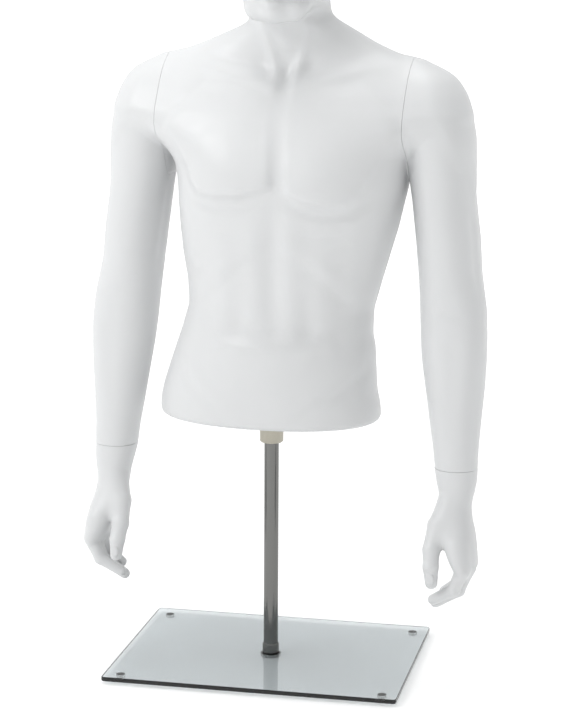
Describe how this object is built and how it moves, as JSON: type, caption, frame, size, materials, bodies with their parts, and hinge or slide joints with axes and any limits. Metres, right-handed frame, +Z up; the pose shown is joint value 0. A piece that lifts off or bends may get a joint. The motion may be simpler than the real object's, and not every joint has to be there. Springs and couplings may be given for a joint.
{
  "type": "half-body display mannequin on a pole stand",
  "caption": "White hollow plastic male upper-body mannequin with head, turn-lock arms and hands, lifting off a chromed pole that it swivels on, over a rectangular glass base.",
  "frame": {"origin": "on the floor under the pole's axis, at the middle of the pad that covers the base bolt", "axes": "+Z up along the pole, -Y the way the base's long front edge faces; the figure faces -Y, turned 4 degrees clockwise seen from above"},
  "size_m": [0.5458, 0.305, 1.107],
  "materials": {
    "white_plastic": "satin blow-moulded polyethylene",
    "fitting_plastic": "satin moulded nylon",
    "cream_plastic": "semi-gloss moulded nylon",
    "cap_plastic": "matte",
    "pole_chrome": "bright chrome plating",
    "zinc_steel": "zinc plated",
    "base_glass": "clear float glass with polished green edges",
    "clear_rubber": "clear silicone",
    "gasket_rubber": "translucent grey"
  },
  "bodies": {
    "stand": {"base_bolt": "zinc_steel", "base_gasket": "gasket_rubber", "bolt_pad": "clear_rubber", "bolt_washer": "zinc_steel", "foot_back_left": "clear_rubber", "foot_back_right": "clear_rubber", "foot_front_left": "clear_rubber", "foot_front_right": "clear_rubber", "glass_base": "base_glass", "pole": "pole_chrome", "pole_cap": "cap_plastic", "pole_ferrule": "pole_chrome", "pole_thread_insert": "zinc_steel"},
    "swivel": {"pole_adaptor": "cream_plastic"},
    "torso": {"pole_sleeve": "fitting_plastic", "shoulder_socket_left": "fitting_plastic", "shoulder_socket_right": "fitting_plastic", "shoulder_socket_screws_left": "zinc_steel", "shoulder_socket_screws_right": "zinc_steel", "sleeve_screws": "zinc_steel", "torso_shell": "white_plastic"},
    "arm_left": {"arm_shell_left": "white_plastic", "shoulder_plug_left": "fitting_plastic", "shoulder_plug_screws_left": "zinc_steel", "wrist_socket_left": "fitting_plastic", "wrist_socket_screws_left": "zinc_steel"},
    "arm_right": {"arm_shell_right": "white_plastic", "shoulder_plug_right": "fitting_plastic", "shoulder_plug_screws_right": "zinc_steel", "wrist_socket_right": "fitting_plastic", "wrist_socket_screws_right": "zinc_steel"},
    "hand_left": {"hand_shell_left": "white_plastic", "wrist_plug_left": "fitting_plastic", "wrist_plug_screws_left": "zinc_steel"},
    "hand_right": {"hand_shell_right": "white_plastic", "wrist_plug_right": "fitting_plastic", "wrist_plug_screws_right": "zinc_steel"}
  },
  "joints": [
    {"name": "torso_swivel", "type": "hinge", "parent": "stand", "child": "swivel", "pos_m": [0, 0, 0.403], "axis": [0, 0, 1], "continuous": true},
    {"name": "torso_lift", "type": "slide", "parent": "swivel", "child": "torso", "axis": [0, 0, 1], "range_m": [0, 0.12]},
    {"name": "shoulder_left", "type": "hinge", "parent": "torso", "child": "arm_left", "pos_m": [0.18779, 0.00191, 0.757], "axis": [-0.9976, 0.0698, 0], "range_deg": [0, 90]},
    {"name": "shoulder_right", "type": "hinge", "parent": "torso", "child": "arm_right", "pos_m": [-0.1438, 0.02509, 0.757], "axis": [-0.9976, 0.0698, 0], "range_deg": [0, 90]},
    {"name": "wrist_left", "type": "hinge", "parent": "arm_left", "child": "hand_left", "pos_m": [0.25685, -0.034, 0.297], "axis": [0, 0, 1], "range_deg": [0, 90]},
    {"name": "wrist_right", "type": "hinge", "parent": "arm_right", "child": "hand_right", "pos_m": [-0.21719, -0.00085, 0.297], "axis": [0, 0, -1], "range_deg": [0, 90]}
  ]
}
